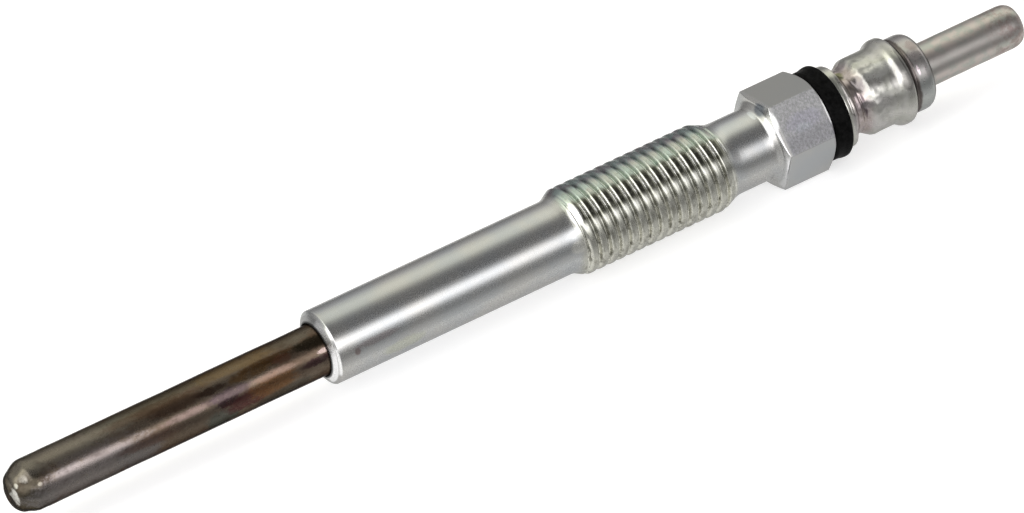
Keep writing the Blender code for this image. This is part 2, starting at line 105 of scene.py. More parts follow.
def softened(points, steps=4):
    """Round the corners of a line of (station, radius, corner radius) points."""
    line = []
    for index, (z, r, round_radius) in enumerate(points):
        here = np.array([z, r])
        if round_radius == 0.0 or index in (0, len(points) - 1):
            line.append(here)
            continue
        before = np.array(points[index - 1][:2]) - here
        after = np.array(points[index + 1][:2]) - here
        reach_before = min(round_radius, 0.49 * np.linalg.norm(before))
        reach_after = min(round_radius, 0.49 * np.linalg.norm(after))
        start = here + before / np.linalg.norm(before) * reach_before
        end = here + after / np.linalg.norm(after) * reach_after
        for step in range(steps + 1):
            share = step / steps
            line.append((1 - share) ** 2 * start + 2 * share * (1 - share) * here + share ** 2 * end)
    return line


def subdivided(line, spacing):
    """Add points so that no step is longer than spacing(station)."""
    result = [line[0]]
    for start, end in zip(line[:-1], line[1:]):
        length = np.linalg.norm(end - start)
        count = max(1, math.ceil(length / spacing((start[0] + end[0]) / 2) - 1e-6))
        for step in range(1, count + 1):
            result.append(start + (end - start) * step / count)
    return result


def side_angles(count, crowding=0.0):
    """Angles round the axis in degrees; crowding draws them towards the hexagon's corners."""
    per_side = count // HEX_SIDES
    angles = []
    for side in range(HEX_SIDES):
        for index in range(per_side):
            share = index / per_side
            drawn = crowding * math.sin(2 * math.pi * share) / (2 * math.pi)
            angles.append(2 * HEX_HALF_FLAT * (side + share - drawn))
    return np.array(angles)


def lower_of(first, second, blend):
    """The smaller of two radii with a rounded changeover."""
    share = np.clip(0.5 + 0.5 * (second - first) / blend, 0.0, 1.0)
    return second + (first - second) * share - blend * share * (1.0 - share)


def meshed(name, vertices, faces):
    """Put a mesh into the scene."""
    mesh = bpy.data.meshes.new(name)
    mesh.from_pydata(vertices, [], faces)
    item = bpy.data.objects.new(name, mesh)
    bpy.context.scene.collection.objects.link(item)
    return item


def lofted(name, line, angles, shape=None, loop=False):
    """Turn a line of (station, radius) points about the plug's axis into a closed mesh.

    shape(stations, radii, angles) may change the turned radii. An open line starts and ends on the axis.
    """
    line = np.array(line)
    stations = np.repeat(line[:, :1], len(angles), axis=1)
    radii = np.repeat(line[:, 1:], len(angles), axis=1)
    if shape:
        radii = shape(stations, radii, angles)
    turn = np.radians(angles)[None, :]
    points = np.stack(
        [
            TIP_X + stations * MM,
            radii * np.cos(turn) * MM,
            AXIS_HEIGHT + radii * np.sin(turn) * MM,
        ],
        axis=2,
    )
    rows, columns = stations.shape
    vertices = points.reshape(-1, 3).tolist()
    faces = []
    for row in range(rows if loop else rows - 1):
        here, there = row * columns, (row + 1) % rows * columns
        for column in range(columns):
            beside = (column + 1) % columns
            faces.append((here + column, here + beside, there + beside, there + column))
    if not loop:
        for row, flip in ((0, True), (rows - 1, False)):
            pole = len(vertices)
            vertices.append((points[row, 0, 0], 0.0, AXIS_HEIGHT))
            for column in range(columns):
                pair = (row * columns + column, row * columns + (column + 1) % columns)
                faces.append((pole, pair[1], pair[0]) if flip else (pole, pair[0], pair[1]))
    item = meshed(name, vertices, faces)
    item.data.validate()
    item.data.shade_smooth()
    return item


def grain(stations, radii, angles, size, depth, seed):
    """Smooth random field on a turned surface, about half the depth up and down."""
    turn = np.radians(angles)
    field = np.zeros(stations.shape)
    for row in range(stations.shape[0]):
        z = stations[row, 0] / size
        for column, angle in enumerate(turn):
            r = radii[row, column] / size
            field[row, column] = noise.noise(Vector((z + seed, r * math.cos(angle), r * math.sin(angle))))
    return field * depth


# The dressed pieces. A profile's rows are station, radius, corner radius.

SHELL_OUTER = [
    (30.40, 2.345, 0.0),
    (30.20, 2.42, 0.04),
    (29.86, 2.44, 0.03),
    (30.20, 3.04, 0.07),
    (30.41, 3.34, 0.08),
    (THREAD_START, 3.34, 0.40),
    (THREAD_FULL, THREAD_CREST_RADIUS, 0.15),
    (THREAD_END, THREAD_CREST_RADIUS, 0.30),
    (NECK_START, NECK_RADIUS, 0.60),
    (HEX_FRONT - 0.64, NECK_RADIUS, 0.18),
    (HEX_FRONT - 0.20, 3.78, 0.12),
    (HEX_FRONT - 0.16, 3.92, 0.05),
    (HEX_FRONT + 0.12, 4.70, 0.06),
    (SHELL_REAR - 0.40, 4.70, 0.05),
    (SHELL_REAR, 4.02, 0.06),
    (SHELL_REAR, 2.62, 0.0),
]
SHELL_BORE = [
    (75.08, 2.60),
    (74.43, 1.95),
    (50.30, 1.95),
    (49.90, 2.345),
]
THREAD_CUT_END = NECK_START + 0.3
HEAD_START = HEX_FRONT - 0.21
HEAD_RADIUS = 3.6


def hexagon_radius(angles):
    """Radius of the hexagon with flats facing up and down."""
    from_corner = (angles + HEX_HALF_FLAT) % (2 * HEX_HALF_FLAT) - HEX_HALF_FLAT
    return HEX_APOTHEM / np.cos(np.radians(HEX_HALF_FLAT - np.abs(from_corner)))


def thread_radius(stations, angles):
    """Radius of the helical groove's surface, with rounded crests and roots."""
    groove_start = THREAD_START - THREAD_PITCH
    turns = (stations - groove_start) / THREAD_PITCH - (angles[None, :] + THREAD_TURN) / 360.0
    distance = np.abs(turns - np.round(turns)) * THREAD_PITCH
    rise = ROOT_ROUNDING * np.logaddexp(0.0, distance / ROOT_ROUNDING)
    flank = THREAD_CREST_RADIUS + (rise - THREAD_GROOVE_HALF) / math.tan(THREAD_FLANK)
    return lower_of(flank, np.full_like(flank, THREAD_CREST_RADIUS), CREST_ROUNDING)


def shell_shape(stations, radii, angles):
    """Cut the thread and the hexagon into the turned blank."""
    outer = (np.arange(len(radii)) < len(shell_outer))[:, None]
    thread = outer & (stations > THREAD_START) & (stations < THREAD_CUT_END)
    cut = lower_of(radii, thread_radius(stations, angles), RUNOUT_ROUNDING)
    head = outer & (stations > HEAD_START) & (radii > HEAD_RADIUS)
    edges = np.repeat(hexagon_radius(angles)[None, :], len(stations), axis=0)
    return np.where(head, lower_of(radii, edges, HEX_ROUNDING), np.where(thread, cut, radii))


def shell_spacing(station):
    """Longest step along the shell at a station."""
    if THREAD_START < station < NECK_START:
        return 0.052
    if abs(station - HEX_FRONT) < 0.6 or station > SHELL_REAR - 0.6:
        return 0.06
    if abs(station - HEX_FRONT) < 1.5:
        return 0.12
    return 0.7


shell_outer = subdivided(softened(SHELL_OUTER), shell_spacing)
shell_line = shell_outer + [np.array(point) for point in SHELL_BORE]
shell = lofted("shell_turned", shell_line, side_angles(180, 0.75), shell_shape, loop=True)


TIP_FLAT = 0.80
TIP_NOSE = 1.12
TIP_NOSE_TURN = math.radians(62.0)
TIP_CONE_END = 1.66
TIP_DENTED = 4.0
TIP_LEAN = 0.15
TIP_LEANING = 1.3
TIP_POLE = 0.3
TUBE_WALL = 0.3
NOSE_ARC = [
    (TIP_NOSE * (1.0 - math.cos(turn)), TIP_FLAT + TIP_NOSE * math.sin(turn), 0.0)
    for turn in np.linspace(0.0, TIP_NOSE_TURN, 9)
]
TUBE_PROFILE = [(0.0, 0.02, 0.0)] + NOSE_ARC + [
    (TIP_CONE_END, TUBE_RADIUS, 0.30),
    (TUBE_LENGTH, TUBE_RADIUS, 0.20),
    (TUBE_LENGTH, 1.70, 0.0),
    (2.05, 1.70, 0.0),
    (1.45, 1.45, 0.0),
    (1.20, 0.85, 0.0),
    (1.20, 0.02, 0.0),
]


def tube_shape(stations, radii, angles):
    """Swaged, slightly dented tip that leans a little, and a faintly wavy drawn side."""
    near_tip = np.clip(1.0 - stations / TIP_DENTED, 0.0, 1.0) * (radii > TIP_POLE)
    side = (radii > TUBE_RADIUS - TUBE_WALL) & (stations < TUBE_EXPOSED)
    dents = grain(stations, radii, angles, *TIP_DENTS) * near_tip
    sideways = np.sin(np.radians(angles - NEAR_SIDE))[None, :] * np.clip(radii / TIP_FLAT, 0.0, 1.0)
    lean = TIP_LEAN * np.clip(1.0 - stations / TIP_LEANING, 0.0, 1.0) * sideways
    waves = grain(stations, radii, angles, *TUBE_WAVES) * side
    return radii + dents + lean + waves


def tube_spacing(station):
    """Longest step along the tube at a station."""
    return 0.09 if station < 3.5 else 0.30 if station < 31.0 else 4.0


tube_line = subdivided(softened(TUBE_PROFILE), tube_spacing)
heater = lofted("heater_tube_drawn", tube_line, side_angles(150), tube_shape)


WASHER_FRONT = SHELL_REAR + 0.10
WASHER_RIM = 3.0
WASHER_STEP = 0.14
WASHER_PROFILE = [
    (WASHER_FRONT - 2.20, 1.24, 0.0),
    (WASHER_FRONT - 2.20, 2.50, 0.05),
    (WASHER_FRONT, 2.50, 0.0),
    (WASHER_FRONT, 3.96, 0.05),
    (WASHER_FRONT + 0.20, 4.09, 0.12),
    (WASHER_FRONT + 0.85, 4.09, 0.25),
    (WASHER_FRONT + 1.28, 4.21, 0.20),
    (WASHER_FRONT + 1.70, 4.20, 0.34),
    (WASHER_FRONT + 1.70, 1.24, 0.0),
]


def washer_shape(stations, radii, angles):
    """Moulding unevenness on the washer's rim."""
    return radii + grain(stations, radii, angles, *WASHER_WAVES) * (radii > WASHER_RIM)


washer_line = subdivided(softened(WASHER_PROFILE, 6), lambda station: WASHER_STEP)
washer = lofted("washer_moulded", washer_line, side_angles(150), washer_shape, loop=True)


FACE = SHELL_REAR + 1.90
BORE_END = FACE + 11.70
CONNECTOR_PROFILE = [
    (FACE, 1.24, 0.0),
    (FACE, 3.72, 0.08),
    (FACE + 0.84, 3.72, 0.12),
    (FACE + 1.24, 2.92, 0.25),
    (FACE + 2.06, 2.92, 0.30),
    (FACE + 2.94, 3.50, 0.22),
    (FACE + 4.10, 3.49, 0.60),
    (FACE + 5.36, 3.50, 0.40),
    (FACE + 5.95, 3.95, 0.28),
    (FACE + 6.62, 3.95, 0.16),
    (FACE + 7.02, 3.38, 0.08),
    (FACE + 7.22, 3.33, 0.08),
    (FACE + 7.36, 3.46, 0.08),
    (FACE + 9.15, 3.46, 0.80),
    (FACE + 9.15, 1.97, 0.10),
    (PIN_END - 0.70, 1.97, 0.60),
    (PIN_END, 1.50, 0.75),
    (PIN_END, 0.02, 0.0),
]
BEYOND_BORE = 1.5
BEYOND_PIN = 2.0
CRIMP_MIDDLE = FACE + 2.6
CRIMP_REACH = 1.9
CREASES = [
    # offset from the connector's face, side angle, half width, half angle, lean in mm a degree, depth
    (0.16, 12.0, 0.36, 50.0, 0.0, 0.66),
    (0.74, 12.0, 0.30, 50.0, 0.0, 0.70),
    (1.84, 22.0, 0.08, 26.0, 0.002, 0.14),
    (1.40, 36.0, 0.10, 18.0, 0.008, 0.03),
    (2.40, 40.0, 0.10, 20.0, 0.006, 0.04),
    (1.80, -24.0, 0.16, 14.0, 0.010, 0.05),
    (1.50, -52.0, 0.16, 9.0, 0.012, 0.14),
    (1.90, 88.0, 0.10, 24.0, 0.0, 0.10),
    (1.60, 140.0, 0.09, 22.0, 0.006, 0.09),
    (2.00, 196.0, 0.10, 26.0, -0.004, 0.12),
    (1.70, 250.0, 0.09, 20.0, 0.005, 0.09),
]


def connector_shape(stations, radii, angles):
    """A dent in the flange, creases that crimping left round the waist, and a little unevenness."""
    beyond_pin = radii > BEYOND_PIN
    crimped = beyond_pin * np.exp(-(((stations - CRIMP_MIDDLE) / CRIMP_REACH) ** 2))
    result = radii + grain(stations, radii, angles, *CONNECTOR_WAVES) * (radii > BEYOND_BORE)
    result = result + grain(stations, radii, angles, *CRIMP_DENTS) * crimped
    for offset, side, half, half_angle, lean, depth in CREASES:
        turned = (angles[None, :] - NEAR_SIDE - side + 180.0) % 360.0 - 180.0
        across = (stations - FACE - offset - lean * turned) / half
        result = result - depth * beyond_pin * np.exp(-(across**2) - (turned / half_angle) ** 4)
    return result


def connector_spacing(station):
    """Longest step along the connector at a station."""
    return 0.05 if FACE + 1.0 < station < FACE + 2.8 else 0.09 if station < FACE + 9.2 else 0.4


connector_line = [np.array((BORE_END, 0.02)), np.array((BORE_END, 1.24))]
connector_line += subdivided(softened(CONNECTOR_PROFILE, 5), connector_spacing)
connector = lofted("connector_turned", connector_line, side_angles(180), connector_shape)


# Materials

def put(tree, socket, value):
    """Link a field to a socket, or set the socket to a value."""
    if isinstance(value, bpy.types.NodeSocket):
        tree.links.new(value, socket)
    elif isinstance(value, tuple) and len(value) == 3 and len(socket.default_value) == 4:
        socket.default_value = (*value, 1.0)
    else:
        socket.default_value = value


def maths(tree, operation, *values, kind="ShaderNodeMath"):
    """Result of an operation on fields and values."""
    made = tree.nodes.new(kind)
    made.operation = operation
    for socket, value in zip(made.inputs, values):
        put(tree, socket, value)
    return made.outputs[0]


class Graph:
    """Short calls for one procedural material; colour is what has been laid so far."""

    patch_edge = (0.35, 1.35)

    def __init__(self, name, metallic, roughness, edge_tint=1.0):
        self.material = bpy.data.materials.new(name)
        self.material.use_nodes = True
        self.tree = self.material.node_tree
        self.shader = self.tree.nodes["Principled BSDF"]
        self.shader.inputs["Metallic"].default_value = metallic
        self.shader.inputs["Roughness"].default_value = roughness
        self.shader.inputs["Specular Tint"].default_value = (edge_tint, edge_tint, edge_tint, 1.0)
        self.colour = None
        place = self.tree.nodes.new("ShaderNodeTexCoord").outputs["Object"]
        origin = (-TIP_X / MM, 0.0, -AXIS_HEIGHT / MM)
        self.place = self.vector("MULTIPLY_ADD", place, (1.0 / MM,) * 3, origin)
        split = self.node("ShaderNodeSeparateXYZ", Vector=self.place)
        self.along = split.outputs["X"]
        y, z = split.outputs["Y"], split.outputs["Z"]
        c, s = math.cos(math.radians(NEAR_SIDE)), math.sin(math.radians(NEAR_SIDE))
        facing = self.plus(self.times(y, c), self.times(z, s))
        across = self.minus(self.times(z, c), self.times(y, s))
        self.side = self.times(self.maths("ARCTAN2", across, facing), 180.0 / math.pi)

    def node(self, kind, **inputs):
        """A new node with its inputs set."""
        made = self.tree.nodes.new(kind)
        for key, value in inputs.items():
            put(self.tree, made.inputs[key], value)
        return made

    def maths(self, operation, *values):
        return maths(self.tree, operation, *values)

    def vector(self, operation, *values):
        return maths(self.tree, operation, *values, kind="ShaderNodeVectorMath")

    def times(self, first, *others):
        """Product of fields and values."""
        for other in others:
            first = self.maths("MULTIPLY", first, other)
        return first

    def plus(self, first, *others):
        """Sum of fields and values."""
        for other in others:
            first = self.maths("ADD", first, other)
        return first

    def minus(self, first, second):
        return self.maths("SUBTRACT", first, second)

    def step(self, value, low, high):
        """0 below low, 1 above high, smooth between."""
        made = self.tree.nodes.new("ShaderNodeMapRange")
        made.interpolation_type = "SMOOTHSTEP"
        put(self.tree, made.inputs["Value"], value)
        made.inputs["From Min"].default_value = low
        made.inputs["From Max"].default_value = high
        return made.outputs[0]

    def band(self, value, low, high, soft):
        """1 between low and high."""
        rise = self.step(value, low - soft, low + soft)
        fall = self.step(value, high - soft, high + soft)
        return self.times(rise, self.minus(1.0, fall))

    def spread(self, field, low, high):
        """Map a 0 to 1 field to a range."""
        return self.maths("MULTIPLY_ADD", field, high - low, low)

    def curve(self, value, points):
        """A smooth line through (value, result) points."""
        first, last = points[0][0], points[-1][0]
        peak = max(result for _, result in points)
        share = self.maths("DIVIDE", self.minus(value, first), last - first)
        made = self.node("ShaderNodeValToRGB", Fac=share)
        ramp = made.color_ramp
        ramp.interpolation = "EASE"
        stops = [ramp.elements[0]]
        stops += [ramp.elements.new((place - first) / (last - first)) for place, _ in points[1:-1]]
        stops.append(ramp.elements[-1])
        for stop, (_, result) in zip(stops, points):
            stop.color = (*(result / peak,) * 3, 1.0)
        return self.times(made.outputs[0], peak)

    def noise(self, scale, detail=3.0, roughness=0.5, stretch=(1.0, 1.0, 1.0)):
        """Noise in millimetre space; scale is features per millimetre."""
        place = self.vector("MULTIPLY", self.place, stretch)
        made = self.node(
            "ShaderNodeTexNoise", Vector=place, Scale=scale, Detail=detail, Roughness=roughness
        )
        return made.outputs[0]

    def wobble(self, amount, *settings):
        """Noise about zero, which bends the edges of patches."""
        return self.times(self.minus(self.noise(*settings), 0.5), amount)

    def mix(self, share, first, second, blend="MIX"):
        """Blend of two colours, which are the node's inputs 6 and 7."""
        made = self.tree.nodes.new("ShaderNodeMix")
        made.data_type = "RGBA"
        made.blend_type = blend
        for index, value in ((0, share), (6, first), (7, second)):
            put(self.tree, made.inputs[index], value)
        return made.outputs[2]

    def lay(self, share, strength, colour):
        """Lay a colour where share is 1."""
        self.colour = self.mix(self.times(share, strength), self.colour, colour)

    def patch(self, along, side, half_along, half_side, colour, strength, wobble):
        """Lay a soft-edged patch, its edge bent by the wobble field."""
        first = self.maths("POWER", self.maths("DIVIDE", self.minus(self.along, along), half_along), 2.0)
        second = self.maths("POWER", self.maths("DIVIDE", self.minus(self.side, side), half_side), 2.0)
        outside = self.step(self.plus(first, second, wobble), *self.patch_edge)
        self.lay(self.minus(1.0, outside), strength, colour)

    def finish(self, roughness, bump, depth):
        """Wire the colour, the roughness and a bump of a given depth in millimetres."""
        put(self.tree, self.shader.inputs["Base Color"], self.colour)
        put(self.tree, self.shader.inputs["Roughness"], roughness)
        made = self.node("ShaderNodeBump", Height=bump, Distance=depth * MM, Strength=1.0)
        put(self.tree, self.shader.inputs["Normal"], made.outputs[0])
        return self.material

    def glow(self, **inputs):
        """Make the material a lamp."""
        lamp = self.node("ShaderNodeEmission", **inputs)
        put(self.tree, self.tree.nodes["Material Output"].inputs["Surface"], lamp.outputs[0])
        return self.material


# Painted highlights and painted shade: light and dark bands on the shell's front face and bevel, round
# the bore's mouth and along the hexagon's edges.
PAINTED_EDGE_LIGHT_AND_SHADE = [
    # from station, to station, from side angle, to side angle, tone
    (29.70, 30.20, -180.0, -46.0, 0.27),
    (29.70, 30.20, -46.0, -6.0, 0.62),
    (29.70, 30.20, 4.0, 100.0, 0.98),
    (29.70, 29.94, -180.0, 180.0, 0.01),
    (30.23, 30.40, -24.0, -3.0, 0.80),
    (30.23, 30.40, -3.0, 8.0, 0.22),
    (30.23, 30.40, 12.0, 60.0, 0.90),
    (HEX_FRONT - 0.16, HEX_FRONT + 0.06, -24.0, 34.0, 0.80),
    (HEX_FRONT - 0.18, HEX_FRONT + 0.00, 30.0, 90.0, 0.52),
    (HEX_FRONT - 0.10, HEX_FRONT + 0.04, 30.0, 52.0, 0.82),
    (SHELL_REAR - 0.16, SHELL_REAR + 0.02, -26.0, 18.0, 0.74),
    (HEX_FRONT + 0.03, HEX_FRONT + 0.11, 33.0, 58.0, 0.10),
]
FLAT_PATCHES = [
    # station, side angle, half length, half angle, colour, strength
    (HEX_FRONT + 2.6, -2.0, 1.9, 13.0, (0.285, 0.282, 0.315), 0.8),
    (HEX_FRONT + 2.3, 7.0, 0.9, 6.0, (0.33, 0.345, 0.365), 0.7),
]
SHELL_STAINS_AND_PAINTED_LIGHT = [
    # station, side angle, half length, half angle, colour, strength, whether its edge is bent
    # The first five rows are painted light and shade: a white painted highlight at the hexagon's front, a
    # dark painted shadow on the neck beside it, a pale painted highlight on the neck, and painted light
    # on the thread's start. The last three rows are stains.
    (HEX_FRONT - 0.10, -14.0, 0.46, 13.0, (0.98, 0.98, 0.98), 0.95, False),
    (HEX_FRONT - 0.26, -40.0, 0.30, 11.0, (0.120, 0.135, 0.155), 0.85, True),
    (HEX_FRONT - 0.84, -46.0, 0.24, 10.0, (0.60, 0.63, 0.65), 0.5, True),
    (THREAD_START, 27.0, 0.7, 10.0, (0.62, 0.61, 0.56), 0.6, False),
    (THREAD_START + 0.72, -17.0, 0.46, 17.0, (0.95, 0.95, 0.92), 0.8, False),
    (32.1, 29.0, 0.30, 6.0, (0.20, 0.145, 0.14), 0.7, True),
    (34.0, 23.0, 2.2, 6.0, (0.27, 0.235, 0.235), 0.6, True),
    (36.5, 52.0, 2.2, 12.0, (0.36, 0.37, 0.29), 0.5, True),
]


def paint_thread(g, blotch, speckle):
    """Greenish and darker tints over the thread, with painted highlights on its flanks, painted shade on
    its crests and in two bands, and painted light in its grooves and on its lower side.
    """
    thread = g.band(g.along, THREAD_START + 0.3, NECK_START - 0.6, 0.4)
    g.lay(thread, 0.7, (0.325, 0.325, 0.280))
    green = g.times(thread, g.band(g.side, -78.0, -26.0, 10.0), g.step(blotch, 0.34, 0.58))
    g.lay(green, 0.7, (0.290, 0.370, 0.335))
    # A darker bluish and purplish grey laid over the thread's upper side.
    top_side_tone = g.mix(g.step(blotch, 0.42, 0.58), (0.165, 0.150, 0.175), (0.195, 0.235, 0.235))
    g.lay(g.times(thread, g.step(g.side, -46.0, -62.0)), 0.8, top_side_tone)
    g.lay(g.times(thread, g.step(speckle, 0.50, 0.68)), 0.5, (0.16, 0.16, 0.125))

    pitches = g.maths("DIVIDE", g.minus(g.along, THREAD_START), THREAD_PITCH)
    turns = g.maths("DIVIDE", g.plus(g.side, NEAR_SIDE + THREAD_TURN), 360.0)
    phase = g.maths("FRACT", g.plus(g.minus(pitches, turns), 0.20))
    # The grooves' part of each pitch, where light is painted below.
    painted_light_grooves = g.band(phase, -0.02, 0.42, 0.10)
    # Painted shade: a dark band over the thread's upper near side.
    painted_dark_band = g.times(thread, g.band(g.side, -31.0, -3.0, 5.0))
    g.lay(painted_dark_band, 0.8, (0.17, 0.17, 0.13))
    # Painted shade: near black on the crests within the dark band.
    painted_shade_on_crests = g.times(painted_dark_band, g.band(phase, 0.48, 0.86, 0.06), g.step(speckle, 0.34, 0.52))
    g.lay(painted_shade_on_crests, 0.9, (0.050, 0.050, 0.040))
    # Painted highlight: a white line on the flanks that face the tip, on the upper near side.
    glint = g.times(thread, g.band(g.side, -30.0, -9.0, 4.0), g.band(phase, 0.12, 0.44, 0.06))
    g.lay(glint, 0.9, (0.95, 0.95, 0.91))
    streaks = g.noise(3.0, 3.0, 0.6, (1.0, 0.45, 0.45))
    # Painted light: the thread's lower side laid lighter.
    lower = g.times(thread, g.step(g.side, 14.0, 24.0))
    g.lay(lower, 0.3, (0.50, 0.49, 0.43))
    # Painted shade: a dark band just below the highlight.
    g.lay(g.times(thread, g.band(g.side, 9.0, 19.0, 4.0)), 0.4, (0.15, 0.15, 0.12))
    # Painted light: the grooves on the upper side laid a light greenish grey.
    g.lay(g.times(thread, g.band(g.side, -58.0, -34.0, 5.0), painted_light_grooves), 0.5, (0.52, 0.58, 0.52))
    # Painted light: light streaks in the grooves on the lower side.
    g.lay(g.times(lower, painted_light_grooves, g.step(streaks, 0.34, 0.50)), 0.62, (0.78, 0.77, 0.69))
    g.lay(g.times(lower, g.step(streaks, 0.50, 0.36)), 0.6, (0.22, 0.215, 0.18))


def dress_shell():
    """Bright nickel plate: satin flats, fine turning marks, a greenish tint on the thread, stains, and
    painted highlights and painted shade on the edges, the thread and the hexagon.
    """
    g = Graph("plated_steel", 1.0, 0.25, 0.7)
    cloud = g.noise(0.22, 4.0, 0.6)
    fine = g.noise(5.0, 4.0, 0.6)
    lengthwise = g.noise(2.2, 4.0, 0.6, (0.06, 1.0, 1.0))
    rings = g.noise(6.0, 3.0, 0.6, (1.0, 0.05, 0.05))
    speckle = g.noise(2.4, 5.0, 0.75)
    blotch = g.noise(0.55, 4.0, 0.65)
    wobble = g.wobble(1.6, 0.9, 4.0)
    g.colour = g.mix(g.step(cloud, 0.35, 0.65), (0.355, 0.365, 0.370), (0.395, 0.390, 0.375))
    paint_thread(g, blotch, speckle)

    head = g.step(g.along, HEX_FRONT + 0.15, HEX_FRONT + 0.45)
    near_flat = g.times(head, g.band(g.side, -30.0, 30.0, 1.2))
    # Painted shade: the hexagon laid darker over its upper half.
    g.lay(g.times(head, g.step(g.side, -28.5, -31.5)), 0.8, (0.31, 0.31, 0.30))
    g.lay(near_flat, 0.9, (0.305, 0.305, 0.308))
    for patch in FLAT_PATCHES:
        g.patch(*patch, wobble)
    # Painted shade: the near flat's lower part laid darker.
    g.lay(g.times(near_flat, g.band(g.side, 10.0, 31.0, 5.0)), 0.85, (0.235, 0.234, 0.245))
    frosting = g.noise(5.6, 5.0, 0.8, (1.0, 0.7, 0.7))
    frosted = g.mix(g.step(frosting, 0.38, 0.62), (0.70, 0.70, 0.70), (1.25, 1.25, 1.25))
    g.colour = g.mix(g.times(near_flat, 0.8), g.colour, frosted, "MULTIPLY")

    # Lay the painted highlights and painted shade along the edges.
    for low, high, first_side, last_side, tone in PAINTED_EDGE_LIGHT_AND_SHADE:
        edge = g.times(g.band(g.along, low, high, 0.04), g.band(g.side, first_side, last_side, 5.0))
        g.lay(edge, 0.9, (tone,) * 3)
    # Lay the stains and the painted light and shade.
    for *patch, bent in SHELL_STAINS_AND_PAINTED_LIGHT:
        g.patch(*patch, wobble if bent else 0.0)

    roughness = g.plus(g.spread(fine, 0.235, 0.305), g.times(near_flat, 0.14), g.times(head, 0.06))
    height = g.plus(g.times(lengthwise, 0.45), g.times(rings, 0.20), g.times(fine, 0.05))
    height = g.plus(height, g.times(near_flat, frosting, 2.0))
    return g.finish(roughness, height, 0.005)


HEAT_TINTS_AND_PAINTED_LIGHT = [
    # station, side angle, half length, half angle, colour, strength
    (0.6, 0.0, 2.6, 180.0, (0.046, 0.040, 0.029), 0.9),
    # Painted highlight on the nose.
    (0.28, -12.0, 0.16, 10.0, (0.38, 0.37, 0.33), 0.9),
    # Painted shade over the highlight line near the tip.
    (2.6, 8.0, 0.7, 26.0, (0.050, 0.038, 0.030), 0.8),
    # Painted highlights on the nose and at the start of the highlight line, in these four rows.
    (0.96, -16.0, 0.34, 13.0, (0.34, 0.32, 0.28), 0.9),
    (0.05, 24.0, 0.12, 40.0, (0.50, 0.49, 0.46), 0.9),
    (2.0, 9.0, 0.22, 5.0, (0.24, 0.22, 0.18), 0.8),
    (4.9, 7.0, 1.6, 10.0, (0.380, 0.340, 0.330), 0.7),
    (5.0, -45.0, 7.0, 42.0, (0.145, 0.130, 0.108), 0.8),
    (6.5, 42.0, 6.0, 46.0, (0.120, 0.110, 0.106), 0.8),
    # Painted highlight along the highlight line.
    (7.6, 8.0, 5.0, 16.0, (0.210, 0.180, 0.172), 0.7),
    (6.5, 23.0, 4.6, 12.0, (0.165, 0.145, 0.138), 0.7),
    (6.8, -9.0, 4.6, 9.0, (0.130, 0.110, 0.104), 0.5),
    (11.0, 48.0, 2.6, 34.0, (0.100, 0.092, 0.088), 0.7),
    (12.6, 26.0, 3.4, 12.0, (0.080, 0.048, 0.038), 0.6),
    (15.5, -20.0, 2.8, 16.0, (0.048, 0.026, 0.016), 0.7),
    (17.0, 50.0, 3.4, 34.0, (0.068, 0.052, 0.038), 0.6),
    (15.0, -55.0, 8.0, 18.0, (0.068, 0.062, 0.044), 0.6),
    (13.6, -36.0, 5.2, 12.0, (0.052, 0.032, 0.020), 0.6),
    # Painted highlight along the highlight line.
    (16.5, 8.0, 3.0, 9.0, (0.165, 0.118, 0.108), 0.6),
    (20.2, 5.0, 2.4, 14.0, (0.070, 0.050, 0.054), 0.85),
    (22.6, -50.0, 5.4, 20.0, (0.120, 0.082, 0.042), 0.7),
    (19.4, 54.0, 1.7, 24.0, (0.056, 0.064, 0.056), 0.7),
    (20.2, 22.0, 1.5, 9.0, (0.024, 0.012, 0.016), 0.8),
    (21.8, 36.0, 2.4, 20.0, (0.056, 0.018, 0.018), 0.8),
    (22.8, -16.0, 2.4, 12.0, (0.100, 0.056, 0.022), 0.8),
    (24.6, -24.0, 3.4, 8.0, (0.046, 0.022, 0.007), 0.75),
    (19.2, -16.0, 1.6, 9.0, (0.028, 0.015, 0.010), 0.8),
    (24.4, 28.0, 2.4, 24.0, (0.125, 0.062, 0.026), 0.75),
    # Painted highlight along the highlight line.
    (24.8, 7.0, 2.4, 9.0, (0.180, 0.125, 0.100), 0.6),
    (25.6, 62.0, 3.0, 18.0, (0.050, 0.048, 0.040), 0.6),
    (25.9, -14.0, 0.9, 10.0, (0.090, 0.038, 0.022), 0.6),
    (28.9, -19.0, 1.9, 14.0, (0.018, 0.014, 0.008), 0.9),
    (28.7, 22.0, 1.6, 9.0, (0.030, 0.012, 0.016), 0.8),
    # Painted highlight by the shell.
    (29.6, 7.0, 0.7, 4.5, (0.360, 0.280, 0.260), 0.7),
    (27.5, -52.0, 2.4, 22.0, (0.085, 0.077, 0.062), 0.6),
]


